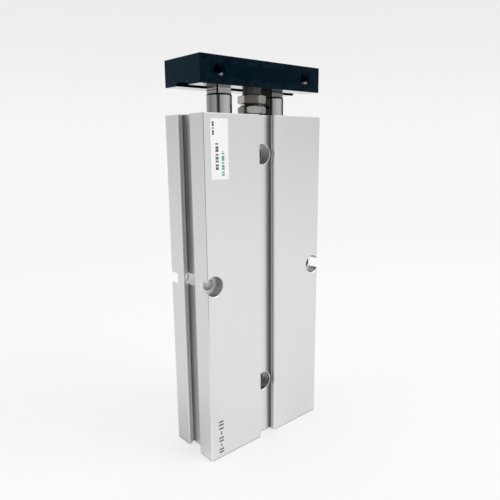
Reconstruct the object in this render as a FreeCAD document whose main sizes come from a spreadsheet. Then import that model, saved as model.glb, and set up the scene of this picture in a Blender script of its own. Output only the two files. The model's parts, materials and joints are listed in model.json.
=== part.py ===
import FreeCAD, Part
import Sketcher
import math
import os
from types import SimpleNamespace

# Twin rod guided cylinder, in millimetres, standing on its rear end.
# Origin: centre of the barrel's rear face. +Z runs along the stroke towards the end plate,
# X lies across the wide faces, and -Y looks out of the front wide face.

# Driving sizes
SIZES = {
    # barrel extrusion
    "stroke": 80.0,
    "bore_diameter": 20.0,
    "web_thickness": 8.0,  # between the two bores
    "side_wall": 7.0,  # from a bore to the narrow face
    "face_wall": 2.5,  # from a bore to the wide face
    "corner_radius": 0.4,
    "groove_width": 8.0,  # centre groove on both wide faces
    "groove_depth": 3.0,
    "groove_edge_break": 0.3,
    "slot_mouth": 7.2,  # dovetail sensor slot on the left narrow face
    "slot_floor": 10.4,
    "slot_depth": 3.2,
    "slot_lip_radius": 0.5,
    # mounting holes through the barrel
    "mount_hole": 4.5,
    "mount_counterbore": 8.0,
    "mount_edge_break": 0.2,
    "side_counterbore_depth": 4.5,
    "centre_counterbore_depth": 6.0,
    "side_hole_inset": 3.4,  # hole axis to the narrow face
    "rear_hole_inset": 24.3,  # hole axis to the rear end
    "front_hole_inset": 15.2,  # hole axis to the front end
    # air ports and the passages through the web
    "port_drill": 4.2,
    "port_spotface": 9.5,
    "port_spotface_depth": 0.4,
    "rear_port_rise": 3.0,  # above the rear cover
    "passage_diameter": 3.0,
    # seats for the covers and their snap rings
    "seat_step": 0.7,
    "seat_depth": 5.0,
    "mouth_break": 0.4,
    "ring_inset": 1.4,
    "ring_thickness": 1.1,
    "ring_play": 0.1,
    "ring_groove_depth": 0.6,
    "ring_band": 1.9,
    "ring_gap": 7.0,
    "ring_lug_radius": 1.7,
    "ring_lug_hole": 1.5,
    # covers
    "cover_fit": 0.05,
    "front_spigot": 15.8,
    "nose_length": 4.0,
    "nose_diameter": 16.0,
    "nose_lip": 1.0,
    "rear_spigot": 5.5,
    "cover_edge_break": 0.4,
    "bush_wall": 1.5,
    "bush_fit": 0.02,
    "rod_seal_wall": 2.4,
    "rod_seal_height": 4.0,
    "rod_seal_recess": 0.2,
    "oring_section": 1.7,
    "oring_groove_width": 2.2,
    "oring_setback": 2.0,
    "bumper_thickness": 2.5,
    # rods and pistons
    "rod_diameter": 10.0,
    "rod_running_gap": 0.02,
    "rod_clear_gap": 0.3,
    "rod_shank": 6.0,
    "shank_fit": 0.05,
    "neck_step": 0.25,  # square neck inside the rod's round
    "neck_length": 2.1,
    "shoulder_height": 0.5,
    "rod_flats": 7.2,
    "flat_fit": 0.1,
    "rod_thread_depth": 14.0,
    "rear_gap": 1.5,
    "end_clearance": 0.2,
    "piston_gap": 0.2,
    "piston_land": 1.2,
    "piston_seal_width": 2.8,
    "piston_seal_depth": 2.4,
    "wear_ring_width": 2.6,
    "wear_ring_depth": 1.0,
    "wear_ring_slit": 0.8,
    "ring_running_gap": 0.05,
    "hub_wall": 1.4,
    "magnet_length": 4.0,
    "magnet_diameter": 17.0,
    "magnet_washer_thickness": 1.5,
    "piston_nut_height": 4.0,
    # end stop
    "stop_offset": 3.3,  # from the rods' plane towards the front
    "stop_gap": 0.15,
    "stop_thread": 6.0,
    "hexagon_flats": 10.0,
    "stop_head_height": 3.0,
    "washer_face_height": 0.35,  # on the head, towards the lock nut
    "pad_proud": 0.45,
    "pad_recess": 0.9,
    "pad_diameter": 7.6,
    "adjust_gap": 0.55,
    "lock_nut_height": 3.25,
    "collar_height": 3.45,
    "collar_diameter": 7.5,
    "collar_fit": 0.3,
    "stop_tail_inset": 1.0,
    # end plate
    "plate_width": 62.0,
    "plate_depth": 23.0,
    "plate_thickness": 10.0,
    "plate_edge_break": 0.2,
    "channel_depth": 1.2,
    "plate_hole_drill": 4.2,
    "plate_hole_spacing": 44.6,
    "plate_hole_break": 0.5,
    "screw_thread": 5.0,
    "screw_head_diameter": 8.5,
    "screw_head_height": 5.0,
    "screw_socket": 4.0,
    "screw_socket_depth": 2.5,
    "screw_head_clearance": 0.3,
    "screw_hole_clearance": 0.3,
    "screw_sink": 0.2,
    "screw_reach": 9.0,
}

LUG_ANGLE = math.radians(32.0)  # of a snap ring's lugs from the middle of its gap
NUT_TURN = 27.0  # degrees that the hexagons stand turned in the photograph
HEAD_TURN = 29.0

doc = FreeCAD.newDocument("twin_rod_guided_cylinder")
sheet = doc.addObject("Spreadsheet::Sheet", "sizes")
for row, (alias, number) in enumerate(SIZES.items(), start=1):
    sheet.set("A%d" % row, alias)
    sheet.set("B%d" % row, str(number))
    sheet.setAlias("B%d" % row, alias)
doc.recompute()


class Size:
    # A length that carries its number and the sheet formula that gives it.

    def __init__(self, number, formula):
        self.number = number
        self.formula = formula

    def __add__(self, other):
        other = size_of(other)
        return Size(self.number + other.number, "(%s + %s)" % (self.formula, other.formula))

    def __sub__(self, other):
        other = size_of(other)
        return Size(self.number - other.number, "(%s - %s)" % (self.formula, other.formula))

    def __mul__(self, factor):
        return Size(self.number * factor, "(%s * %r)" % (self.formula, float(factor)))

    def __truediv__(self, divisor):
        return Size(self.number / divisor, "(%s / %r)" % (self.formula, float(divisor)))

    def __neg__(self):
        return self * -1


def size_of(value):
    if isinstance(value, Size):
        return value
    return Size(float(value), repr(float(value)))


s = SimpleNamespace(**{alias: Size(number, "sizes." + alias) for alias, number in SIZES.items()})

# Barrel section
bore_radius = s.bore_diameter / 2
bore_pitch = s.bore_diameter + s.web_thickness
body_width = bore_pitch + s.bore_diameter + s.side_wall * 2
body_thickness = s.bore_diameter + s.face_wall * 2
half_thickness = body_thickness / 2
seat_radius = bore_radius + s.seat_step
ring_groove_radius = seat_radius + s.ring_groove_depth
ring_groove_end = s.ring_inset + s.ring_thickness + s.ring_play

# Levels inside the barrel, from the rear face up, with the rods drawn in
ring_seat = s.ring_inset + s.ring_thickness
rear_cover_top = s.seat_depth + s.rear_spigot
piston_nut_base = rear_cover_top + s.rear_gap
washer_base = piston_nut_base + s.piston_nut_height
magnet_base = washer_base + s.magnet_washer_thickness
piston_base = magnet_base + s.magnet_length
seal_base = piston_base + s.piston_land
seal_top = seal_base + s.piston_seal_width
wear_base = seal_top + s.piston_land
wear_top = wear_base + s.wear_ring_width
piston_top = wear_top + s.piston_land
bumper_base = piston_top + s.stroke + s.end_clearance
nose_base = bumper_base + s.bumper_thickness
spigot_base = nose_base + s.nose_length
front_seat = spigot_base + s.front_spigot
body_length = front_seat + s.seat_depth
flange_top = body_length - ring_seat
rod_seal_top = flange_top - s.rod_seal_recess
rod_seal_base = rod_seal_top - s.rod_seal_height
bush_base = nose_base + s.nose_lip
rear_port_level = rear_cover_top + s.rear_port_rise
front_port_level = nose_base + s.nose_length / 2
rear_hole_level = s.rear_hole_inset
front_hole_level = body_length - s.front_hole_inset
side_hole_level = (rear_hole_level + front_hole_level) / 2

# Levels above the barrel
head_base = body_length + s.stop_gap + s.pad_proud
head_top = head_base + s.stop_head_height
washer_face_top = head_top + s.washer_face_height
lock_nut_base = washer_face_top + s.adjust_gap
lock_nut_top = lock_nut_base + s.lock_nut_height
channel_ceiling = lock_nut_top + s.collar_height
plate_underside = channel_ceiling - s.channel_depth
plate_top = plate_underside + s.plate_thickness
plate_middle = plate_underside + s.plate_thickness / 2
neck_base = plate_underside - s.neck_length
screw_seat = plate_top - s.screw_sink - s.screw_head_height

# Radii that several pieces share
rod_radius = s.rod_diameter / 2
shank_radius = s.rod_shank / 2
shank_hole_radius = shank_radius + s.shank_fit
spigot_radius = bore_radius - s.cover_fit
flange_radius = seat_radius - s.cover_fit
nose_radius = s.nose_diameter / 2
rod_clear_radius = rod_radius + s.rod_clear_gap
bush_inner_radius = rod_radius + s.rod_running_gap
bush_outer_radius = bush_inner_radius + s.bush_wall
rod_seal_pocket_radius = rod_radius + s.rod_seal_wall + s.ring_running_gap
oring_groove_radius = bore_radius - s.oring_section - s.ring_running_gap * 2
oring_centre_radius = bore_radius - s.oring_section / 2 - s.ring_running_gap
piston_radius = bore_radius - s.piston_gap
sliding_radius = bore_radius - s.ring_running_gap
seal_groove_radius = piston_radius - s.piston_seal_depth
wear_groove_radius = piston_radius - s.wear_ring_depth
hub_radius = shank_hole_radius + s.hub_wall
hexagon_radius = s.hexagon_flats / math.sqrt(3.0)
washer_face_radius = s.hexagon_flats * 0.45
stop_radius = s.stop_thread / 2
stop_hole_radius = stop_radius + s.shank_fit

front_ring_base = body_length - ring_seat
front_oring_top = front_seat - s.oring_setback
front_oring_base = front_oring_top - s.oring_groove_width
rear_oring_base = s.seat_depth + s.oring_setback
rear_oring_top = rear_oring_base + s.oring_groove_width

SIDES = (("left", -1), ("right", 1))
nodes = []


# Sketch and feature helpers

def new_body(label, x=None, y=None):
    body = doc.addObject("PartDesign::Body", label)
    body.Label = label
    if x is not None:
        body.setExpression("Placement.Base.x", x.formula)
    if y is not None:
        body.setExpression("Placement.Base.y", y.formula)
    nodes.append(body)
    return body


def new_sketch(body, name, role, **offset):
    # offset moves the sketch on its plane: x and y along it, z off it
    plane = [feature for feature in body.Origin.OriginFeatures if feature.Role == role][0]
    sketch = body.newObject("Sketcher::SketchObject", name)
    sketch.AttachmentSupport = (plane, [""])
    sketch.MapMode = "FlatFace"
    for axis, distance in offset.items():
        sketch.setExpression("AttachmentOffset.Base." + axis, size_of(distance).formula)
    return sketch


def constrain(sketch, kind, size, *references):
    index = sketch.addConstraint(Sketcher.Constraint(kind, *references, size.number))
    sketch.setExpression("Constraints[%d]" % index, size.formula)


def draw_outline(sketch, corners):
    # A closed run of straight lines; a corner level with the one before it shares its size.
    corners = [(size_of(x), size_of(y)) for x, y in corners]
    first = sketch.GeometryCount
    count = len(corners)
    points = [FreeCAD.Vector(x.number, y.number, 0) for x, y in corners]
    for i in range(count):
        sketch.addGeometry(Part.LineSegment(points[i], points[(i + 1) % count]), False)
    for i in range(count):
        sketch.addConstraint(Sketcher.Constraint("Coincident", first + i, 2, first + (i + 1) % count, 1))
    for i, (x, y) in enumerate(corners):
        line = first + i
        before = corners[i - 1]
        if i > 0 and x.formula == before[0].formula:
            sketch.addConstraint(Sketcher.Constraint("Vertical", line - 1))
        else:
            constrain(sketch, "DistanceX", x, -1, 1, line, 1)
        if i > 0 and y.formula == before[1].formula:
            sketch.addConstraint(Sketcher.Constraint("Horizontal", line - 1))
        else:
            constrain(sketch, "DistanceY", y, -1, 1, line, 1)


def draw_rectangle(sketch, left, right, low, high):
    draw_outline(sketch, [(left, low), (right, low), (right, high), (left, high)])


def draw_circle(sketch, x, y, radius):
    x, y = size_of(x), size_of(y)
    centre = FreeCAD.Vector(x.number, y.number, 0)
    circle = sketch.addGeometry(Part.Circle(centre, FreeCAD.Vector(0, 0, 1), radius.number), False)
    constrain(sketch, "DistanceX", x, -1, 1, circle, 3)
    constrain(sketch, "DistanceY", y, -1, 1, circle, 3)
    constrain(sketch, "Radius", radius, circle)


def pad(body, sketch, length):
    feature = body.newObject("PartDesign::Pad", "Pad")
    feature.Profile = sketch
    feature.setExpression("Length", length.formula)
    return feature


def cut_through(body, sketch):
    feature = body.newObject("PartDesign::Pocket", "Through")
    feature.Profile = sketch
    feature.Type = "ThroughAll"
    feature.SideType = "Symmetric"
    return feature


def cut_depth(body, sketch, depth, upwards=False):
    feature = body.newObject("PartDesign::Pocket", "Pocket")
    feature.Profile = sketch
    feature.setExpression("Length", depth.formula)
    feature.Reversed = upwards
    return feature


def turn(body, corners, kind="Revolution", role="XZ_Plane", axis="V_Axis", **offset):
    # Turn a half section about a sketch axis, to add (Revolution) or to cut (Groove).
    sketch = new_sketch(body, "Section", role, **offset)
    draw_outline(sketch, corners)
    feature = body.newObject("PartDesign::" + kind, kind)
    feature.Profile = sketch
    feature.ReferenceAxis = (sketch, [axis])
    feature.Angle = 360.0
    return feature


def turned_piece(label, corners, x):
    body = new_body(label, x)
    turn(body, corners)
    return body


def upright_edges(shape, places):
    # Names of the straight edges along Z that stand at the given (x, y) places.
    names = []
    for number, edge in enumerate(shape.Edges, start=1):
        box = edge.BoundBox
        upright = box.XLength < 1e-6 and box.YLength < 1e-6
        if upright and any(math.hypot(box.XMin - x, box.YMin - y) < 1e-4 for x, y in places):
            names.append("Edge%d" % number)
    return names


def dress_edges(body, kind, names, size_name, size):
    base = body.Tip
    feature = body.newObject("PartDesign::" + kind, kind)
    feature.Base = (base, names)
    feature.setExpression(size_name, size.formula)
    return feature


def hexagon(body, kind, radius, height, base, turned_by=0.0):
    feature = body.newObject("PartDesign::" + kind, kind)
    feature.Polygon = 6
    feature.setExpression("Circumradius", radius.formula)
    feature.setExpression("Height", height.formula)
    feature.Placement.Rotation = FreeCAD.Rotation(FreeCAD.Vector(0, 0, 1), turned_by)
    feature.setExpression("Placement.Base.z", base.formula)
    return feature


# Barrel

def cut_bore(body, x):
    # Honed bore with a seat, a snap ring groove and a broken mouth at each end.
    def end(level_of):
        return [
            (seat_radius + s.mouth_break, level_of(size_of(0))),
            (seat_radius, level_of(s.mouth_break)),
            (seat_radius, level_of(s.ring_inset)),
            (ring_groove_radius, level_of(s.ring_inset)),
            (ring_groove_radius, level_of(ring_groove_end)),
            (seat_radius, level_of(ring_groove_end)),
            (seat_radius, level_of(s.seat_depth)),
            (bore_radius, level_of(s.seat_depth)),
        ]

    rear = end(lambda depth: depth)
    front = end(lambda depth: body_length - depth)
    corners = [(0, 0)] + rear + front[::-1] + [(0, body_length)]
    turn(body, corners, kind="Groove", x=x)


def cut_mount_hole(body, x, level, mouth_depth, counterbore_depth):
    # Clearance hole along Y, counterbored from both wide faces; mouth_depth sets the broken edge.
    hole = s.mount_hole / 2
    sink = s.mount_counterbore / 2
    rim = sink + s.mount_edge_break

    def half(side):
        face = half_thickness * side
        mouth = (half_thickness - mouth_depth) * side
        shoulder = (half_thickness - mouth_depth - s.mount_edge_break) * side
        seat = (half_thickness - counterbore_depth) * side
        lead = [(rim, face), (rim, mouth)] if mouth_depth.number > 0 else [(rim, face)]
        return lead + [(sink, shoulder), (sink, seat), (hole, seat)]

    corners = [(0, -half_thickness)] + half(-1) + half(1)[::-1] + [(0, half_thickness)]
    turn(body, corners, kind="Groove", role="XY_Plane", x=x, z=level)


def cut_port(body, level):
    # Tapped port in the right narrow face, spot-faced for a fitting and open to the bore.
    face = body_width / 2
    floor = face - s.port_spotface_depth
    drill = s.port_drill / 2
    spot = s.port_spotface / 2
    corners = [
        (bore_pitch / 2, 0),
        (face, 0),
        (face, spot),
        (floor, spot),
        (floor, drill),
        (bore_pitch / 2, drill),
    ]
    turn(body, corners, kind="Groove", role="XY_Plane", axis="H_Axis", z=level)


def make_barrel():
    body = new_body("barrel_body")
    half_width = body_width / 2
    blank = new_sketch(body, "Blank", "XY_Plane")
    draw_rectangle(blank, -half_width, half_width, -half_thickness, half_thickness)
    pad(body, blank, body_length)

    half_groove = s.groove_width / 2
    groove_floor = half_thickness - s.groove_depth
    grooves = new_sketch(body, "CentreGrooves", "XY_Plane")
    draw_rectangle(grooves, -half_groove, half_groove, -half_thickness, -groove_floor)
    draw_rectangle(grooves, -half_groove, half_groove, groove_floor, half_thickness)
    cut_through(body, grooves)

    half_mouth = s.slot_mouth / 2
    half_floor = s.slot_floor / 2
    slot_floor_x = -half_width + s.slot_depth
    slot = new_sketch(body, "SensorSlot", "XY_Plane")
    draw_outline(slot, [
        (-half_width, -half_mouth),
        (slot_floor_x, -half_floor),
        (slot_floor_x, half_floor),
        (-half_width, half_mouth),
    ])
    cut_through(body, slot)
    doc.recompute()

    width, thickness = half_width.number, half_thickness.number
    corners = [(x, y) for x in (-width, width) for y in (-thickness, thickness)]
    dress_edges(body, "Fillet", upright_edges(body.Shape, corners), "Radius", s.corner_radius)
    doc.recompute()
    lips = [(-width, y) for y in (-half_mouth.number, half_mouth.number)]
    dress_edges(body, "Fillet", upright_edges(body.Shape, lips), "Radius", s.slot_lip_radius)
    doc.recompute()
    lands = [(x, y) for x in (-half_groove.number, half_groove.number) for y in (-thickness, thickness)]
    dress_edges(body, "Chamfer", upright_edges(body.Shape, lands), "Size", s.groove_edge_break)

    for name, side in SIDES:
        cut_bore(body, bore_pitch / 2 * side)
        inset = half_width - s.side_hole_inset
        cut_mount_hole(body, inset * side, side_hole_level, size_of(0), s.side_counterbore_depth)
    for level in (rear_hole_level, front_hole_level):
        cut_mount_hole(body, size_of(0), level, s.groove_depth, s.centre_counterbore_depth)

    passages = new_sketch(body, "WebPassages", "YZ_Plane")
    for level in (rear_port_level, front_port_level):
        cut_port(body, level)
        draw_circle(passages, 0, level, s.passage_diameter / 2)
    across = cut_depth(body, passages, bore_pitch)
    across.SideType = "Symmetric"


# Covers, seals and rings in the barrel

def make_rod_cover(name, x):
    turned_piece("rod_cover_" + name, [
        (rod_clear_radius, nose_base),
        (nose_radius, nose_base),
        (nose_radius, spigot_base),
        (spigot_radius - s.cover_edge_break, spigot_base),
        (spigot_radius, spigot_base + s.cover_edge_break),
        (spigot_radius, front_oring_base),
        (oring_groove_radius, front_oring_base),
        (oring_groove_radius, front_oring_top),
        (spigot_radius, front_oring_top),
        (spigot_radius, front_seat),
        (flange_radius, front_seat),
        (flange_radius, flange_top),
        (rod_seal_pocket_radius, flange_top),
        (rod_seal_pocket_radius, rod_seal_base),
        (bush_outer_radius + s.bush_fit, rod_seal_base),
        (bush_outer_radius + s.bush_fit, bush_base),
        (rod_clear_radius, bush_base),
    ], x)


def make_guide_bush(name, x):
    turned_piece("guide_bush_" + name, [
        (bush_inner_radius + s.cover_edge_break, bush_base),
        (bush_outer_radius, bush_base),
        (bush_outer_radius, rod_seal_base),
        (bush_inner_radius + s.cover_edge_break, rod_seal_base),
        (bush_inner_radius, rod_seal_base - s.cover_edge_break),
        (bush_inner_radius, bush_base + s.cover_edge_break),
    ], x)


def make_rod_seal(name, x):
    lip = rod_radius + s.ring_running_gap
    heel = rod_seal_pocket_radius - s.ring_running_gap
    lip_wall = s.rod_seal_wall / 3
    lip_height = s.rod_seal_height / 3
    relief = s.rod_seal_wall / 6
    turned_piece("rod_seal_" + name, [
        (lip, rod_seal_base),
        (lip + lip_wall, rod_seal_base),
        ((lip + heel) / 2, rod_seal_base + lip_height),
        (heel - lip_wall, rod_seal_base),
        (heel, rod_seal_base),
        (heel, rod_seal_top),
        (lip, rod_seal_top),
        (lip + relief, rod_seal_top - lip_height),
        (lip + relief, rod_seal_base + lip_height),
    ], x)


def make_oring(label, x, base, top):
    body = new_body(label, x)
    section = new_sketch(body, "Section", "XZ_Plane")
    draw_circle(section, oring_centre_radius, (base + top) / 2, s.oring_section / 2)
    ring = body.newObject("PartDesign::Revolution", "Revolution")
    ring.Profile = section
    ring.ReferenceAxis = (section, ["V_Axis"])
    ring.Angle = 360.0


def make_front_bumper(name, x):
    turned_piece("front_bumper_" + name, [
        (rod_clear_radius, bumper_base),
        (nose_radius - s.cover_edge_break, bumper_base),
        (nose_radius, bumper_base + s.cover_edge_break),
        (nose_radius, nose_base),
        (rod_clear_radius, nose_base),
    ], x)


def make_rear_cover(name, x):
    turned_piece("rear_cover_" + name, [
        (0, ring_seat),
        (flange_radius, ring_seat),
        (flange_radius, s.seat_depth),
        (spigot_radius, s.seat_depth),
        (spigot_radius, rear_oring_base),
        (oring_groove_radius, rear_oring_base),
        (oring_groove_radius, rear_oring_top),
        (spigot_radius, rear_oring_top),
        (spigot_radius, rear_cover_top - s.cover_edge_break),
        (spigot_radius - s.cover_edge_break, rear_cover_top),
        (0, rear_cover_top),
    ], x)


def make_snap_ring(label, x, base):
    # Open ring with two drilled lugs at its gap, which faces the front.
    outer = ring_groove_radius - s.ring_play
    inner = outer - s.ring_band
    half_gap = s.ring_gap / 2
    body = new_body(label, x)
    band = new_sketch(body, "Band", "XY_Plane", z=base)
    draw_circle(band, 0, 0, outer)
    draw_circle(band, 0, 0, inner)
    pad(body, band, s.ring_thickness)
    gap = new_sketch(body, "Gap", "XY_Plane", z=base)
    draw_rectangle(gap, -half_gap, half_gap, -outer - s.ring_band, 0)
    cut_through(body, gap)
    lug_reach = inner - s.ring_play
    lugs = new_sketch(body, "Lugs", "XY_Plane", z=base)
    eyes = new_sketch(body, "Eyes", "XY_Plane", z=base)
    for _, side in SIDES:
        lug_x = lug_reach * (math.sin(LUG_ANGLE) * side)
        lug_y = lug_reach * -math.cos(LUG_ANGLE)
        draw_circle(lugs, lug_x, lug_y, s.ring_lug_radius)
        draw_circle(eyes, lug_x, lug_y, s.ring_lug_hole / 2)
    pad(body, lugs, s.ring_thickness)
    cut_through(body, eyes)


# Rods and pistons

def make_piston_rod(name, x):
    neck_radius = rod_radius - s.neck_step
    body = turned_piece("piston_rod_" + name, [
        (0, piston_nut_base),
        (shank_radius, piston_nut_base),
        (shank_radius, piston_top),
        (rod_radius, piston_top),
        (rod_radius, neck_base - s.shoulder_height),
        (neck_radius, neck_base),
        (neck_radius, channel_ceiling),
        (0, channel_ceiling),
    ], x)
    half_flats = s.rod_flats / 2
    flats = new_sketch(body, "WrenchFlats", "XY_Plane", z=channel_ceiling)
    draw_rectangle(flats, -rod_radius, rod_radius, half_flats, rod_radius)
    draw_rectangle(flats, -rod_radius, rod_radius, -rod_radius, -half_flats)
    cut_depth(body, flats, channel_ceiling - neck_base)
    side_flats = new_sketch(body, "SideFlats", "XY_Plane", z=channel_ceiling)
    draw_rectangle(side_flats, half_flats, rod_radius, -rod_radius, rod_radius)
    draw_rectangle(side_flats, -rod_radius, -half_flats, -rod_radius, rod_radius)
    cut_depth(body, side_flats, channel_ceiling - neck_base)
    thread_radius = s.screw_thread / 2 + s.shank_fit
    thread = new_sketch(body, "TappedEnd", "XY_Plane", z=channel_ceiling)
    draw_circle(thread, 0, 0, thread_radius)
    cut_depth(body, thread, s.rod_thread_depth)


def make_piston(name, x):
    turned_piece("piston_" + name, [
        (shank_hole_radius, magnet_base),
        (hub_radius, magnet_base),
        (hub_radius, piston_base),
        (piston_radius, piston_base),
        (piston_radius, seal_base),
        (seal_groove_radius, seal_base),
        (seal_groove_radius, seal_top),
        (piston_radius, seal_top),
        (piston_radius, wear_base),
        (wear_groove_radius, wear_base),
        (wear_groove_radius, wear_top),
        (piston_radius, wear_top),
        (piston_radius, piston_top),
        (shank_hole_radius, piston_top),
    ], x)


def make_piston_seal(name, x):
    # Double-lipped ring: the outside is hollow between its two lips.
    inner = seal_groove_radius + s.ring_running_gap
    low = seal_base + s.ring_running_gap
    high = seal_top - s.ring_running_gap
    turned_piece("piston_seal_" + name, [
        (inner, low),
        (sliding_radius, low),
        (sliding_radius - s.piston_seal_depth / 4, (low + high) / 2),
        (sliding_radius, high),
        (inner, high),
    ], x)


def make_wear_ring(name, x):
    inner = wear_groove_radius + s.ring_running_gap
    low = wear_base + s.ring_running_gap
    high = wear_top - s.ring_running_gap
    body = turned_piece("wear_ring_" + name, [
        (inner, low),
        (sliding_radius, low),
        (sliding_radius, high),
        (inner, high),
    ], x)
    half_slit = s.wear_ring_slit / 2
    slit = new_sketch(body, "Slit", "XY_Plane", z=low)
    draw_rectangle(slit, -half_slit, half_slit, -bore_radius, 0)
    cut_through(body, slit)


def make_magnet(name, x):
    turned_piece("magnet_" + name, [
        (hub_radius + s.shank_fit, magnet_base),
        (s.magnet_diameter / 2, magnet_base),
        (s.magnet_diameter / 2, piston_base),
        (hub_radius + s.shank_fit, piston_base),
    ], x)


def make_magnet_washer(name, x):
    turned_piece("magnet_washer_" + name, [
        (shank_hole_radius, washer_base),
        (s.magnet_diameter / 2, washer_base),
        (s.magnet_diameter / 2, magnet_base),
        (shank_hole_radius, magnet_base),
    ], x)


def chamfer_hexagon(body, base, top):
    # The 30 degree cones that a hexagon's corners are turned to, below and above.
    face = s.hexagon_flats * 0.48
    corner = hexagon_radius * 1.05
    drop = (corner - face) * math.tan(math.radians(30.0))
    turn(body, [(face, top), (corner, top), (corner, top - drop)], kind="Groove")
    turn(body, [(face, base), (corner, base), (corner, base + drop)], kind="Groove")


def make_nut(label, x, y, base, height, hole_radius, turned_by):
    body = new_body(label, x, y)
    hexagon(body, "AdditivePrism", hexagon_radius, height, base, turned_by)
    chamfer_hexagon(body, base, base + height)
    hole = new_sketch(body, "Thread", "XY_Plane", z=base)
    draw_circle(hole, 0, 0, hole_radius)
    cut_through(body, hole)


# End plate and what it carries

def make_end_plate():
    body = new_body("end_plate")
    half_width = s.plate_width / 2
    half_depth = s.plate_depth / 2
    half_channel = s.rod_flats / 2 + s.flat_fit
    blank = new_sketch(body, "Blank", "XY_Plane", z=plate_underside)
    draw_rectangle(blank, -half_width, half_width, -half_depth, half_depth)
    pad(body, blank, s.plate_thickness)
    doc.recompute()
    every_edge = ["Edge%d" % number for number in range(1, len(body.Shape.Edges) + 1)]
    dress_edges(body, "Chamfer", every_edge, "Size", s.plate_edge_break)

    channel = new_sketch(body, "RodChannel", "XY_Plane", z=plate_underside)
    draw_rectangle(channel, -half_width, half_width, -half_channel, half_channel)
    cut_depth(body, channel, s.channel_depth, upwards=True)
    collar_seat = new_sketch(body, "CollarSeat", "XY_Plane", z=plate_underside)
    draw_circle(collar_seat, 0, -s.stop_offset, s.collar_diameter / 2 + s.collar_fit)
    cut_depth(body, collar_seat, s.channel_depth, upwards=True)
    stop_hole = new_sketch(body, "StopThread", "XY_Plane", z=plate_underside)
    draw_circle(stop_hole, 0, -s.stop_offset, stop_hole_radius)
    cut_through(body, stop_hole)

    hole = s.screw_thread / 2 + s.screw_hole_clearance
    sink = s.screw_head_diameter / 2 + s.screw_head_clearance
    drill = s.plate_hole_drill / 2
    rim = drill + s.plate_hole_break
    for _, side in SIDES:
        turn(body, [
            (0, plate_underside),
            (hole, plate_underside),
            (hole, screw_seat),
            (sink, screw_seat),
            (sink, plate_top),
            (0, plate_top),
        ], kind="Groove", x=bore_pitch / 2 * side)
        turn(body, [
            (0, -half_depth),
            (rim, -half_depth),
            (drill, -half_depth + s.plate_hole_break),
            (drill, half_depth - s.plate_hole_break),
            (rim, half_depth),
            (0, half_depth),
        ], kind="Groove", role="XY_Plane", x=s.plate_hole_spacing / 2 * side, z=plate_middle)


def make_plate_screw(name, x):
    thread = s.screw_thread / 2
    head = s.screw_head_diameter / 2
    tip = channel_ceiling - s.screw_reach
    head_top_level = screw_seat + s.screw_head_height
    body = turned_piece("plate_screw_" + name, [
        (0, tip),
        (thread, tip),
        (thread, screw_seat),
        (head, screw_seat),
        (head, head_top_level - s.cover_edge_break),
        (head - s.cover_edge_break, head_top_level),
        (0, head_top_level),
    ], x)
    socket_base = head_top_level - s.screw_socket_depth
    hexagon(body, "SubtractivePrism", s.screw_socket / math.sqrt(3.0), s.screw_socket_depth, socket_base)


def make_stop():
    y = -s.stop_offset
    tail = plate_top - s.stop_tail_inset
    bolt = new_body("stop_bolt", None, y)
    hexagon(bolt, "AdditivePrism", hexagon_radius, s.stop_head_height, head_base, HEAD_TURN)
    chamfer_hexagon(bolt, head_base, head_top)
    turn(bolt, [
        (0, head_base + s.pad_recess),
        (washer_face_radius, head_base + s.pad_recess),
        (washer_face_radius, washer_face_top),
        (stop_radius, washer_face_top),
        (stop_radius, tail),
        (0, tail),
    ])
    recess = new_sketch(bolt, "PadRecess", "XY_Plane", z=head_base)
    draw_circle(recess, 0, 0, s.pad_diameter / 2 + s.shank_fit)
    cut_depth(bolt, recess, s.pad_recess, upwards=True)

    pad_base = body_length + s.stop_gap
    pad_radius = s.pad_diameter / 2
    pad_body = new_body("bumper_pad", None, y)
    turn(pad_body, [
        (0, pad_base),
        (pad_radius - s.cover_edge_break, pad_base),
        (pad_radius, pad_base + s.cover_edge_break),
        (pad_radius, head_base + s.pad_recess),
        (0, head_base + s.pad_recess),
    ])

    make_nut("lock_nut", None, y, lock_nut_base, s.lock_nut_height, stop_hole_radius, NUT_TURN)
    collar = new_body("stop_collar", None, y)
    turn(collar, [
        (stop_hole_radius, lock_nut_top),
        (s.collar_diameter / 2, lock_nut_top),
        (s.collar_diameter / 2, channel_ceiling),
        (stop_hole_radius, channel_ceiling),
    ])


make_barrel()
make_end_plate()
make_stop()
for side_name, side_sign in SIDES:
    axis_x = bore_pitch / 2 * side_sign
    make_rod_cover(side_name, axis_x)
    make_guide_bush(side_name, axis_x)
    make_rod_seal(side_name, axis_x)
    make_oring("cover_oring_" + side_name, axis_x, front_oring_base, front_oring_top)
    make_front_bumper(side_name, axis_x)
    make_snap_ring("front_ring_" + side_name, axis_x, front_ring_base)
    make_rear_cover(side_name, axis_x)
    make_oring("rear_oring_" + side_name, axis_x, rear_oring_base, rear_oring_top)
    make_snap_ring("rear_ring_" + side_name, axis_x, s.ring_inset)
    make_piston_rod(side_name, axis_x)
    make_piston(side_name, axis_x)
    make_piston_seal(side_name, axis_x)
    make_wear_ring(side_name, axis_x)
    make_magnet(side_name, axis_x)
    make_magnet_washer(side_name, axis_x)
    make_nut("piston_nut_" + side_name, axis_x, None, piston_nut_base, s.piston_nut_height,
             shank_hole_radius, 0.0)
    make_plate_screw(side_name, axis_x)
doc.recompute()

# Every feature has to be sound, and every cut has to have removed something.
CUTS = ("PartDesign::Pocket", "PartDesign::Groove", "PartDesign::SubtractivePrism")
faults = [item.Label for item in doc.Objects if {"Invalid", "Error"} & set(item.State)]
for body in nodes:
    if body.Shape.isNull() or not body.Shape.isValid() or len(body.Shape.Solids) != 1:
        faults.append(body.Label)
    for feature in body.Group:
        if feature.TypeId in CUTS and feature.Shape.Volume > feature.BaseFeature.Shape.Volume - 1e-6:
            faults.append(body.Label + "." + feature.Name)
if faults:
    raise RuntimeError("faulty: " + ", ".join(faults))

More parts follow.
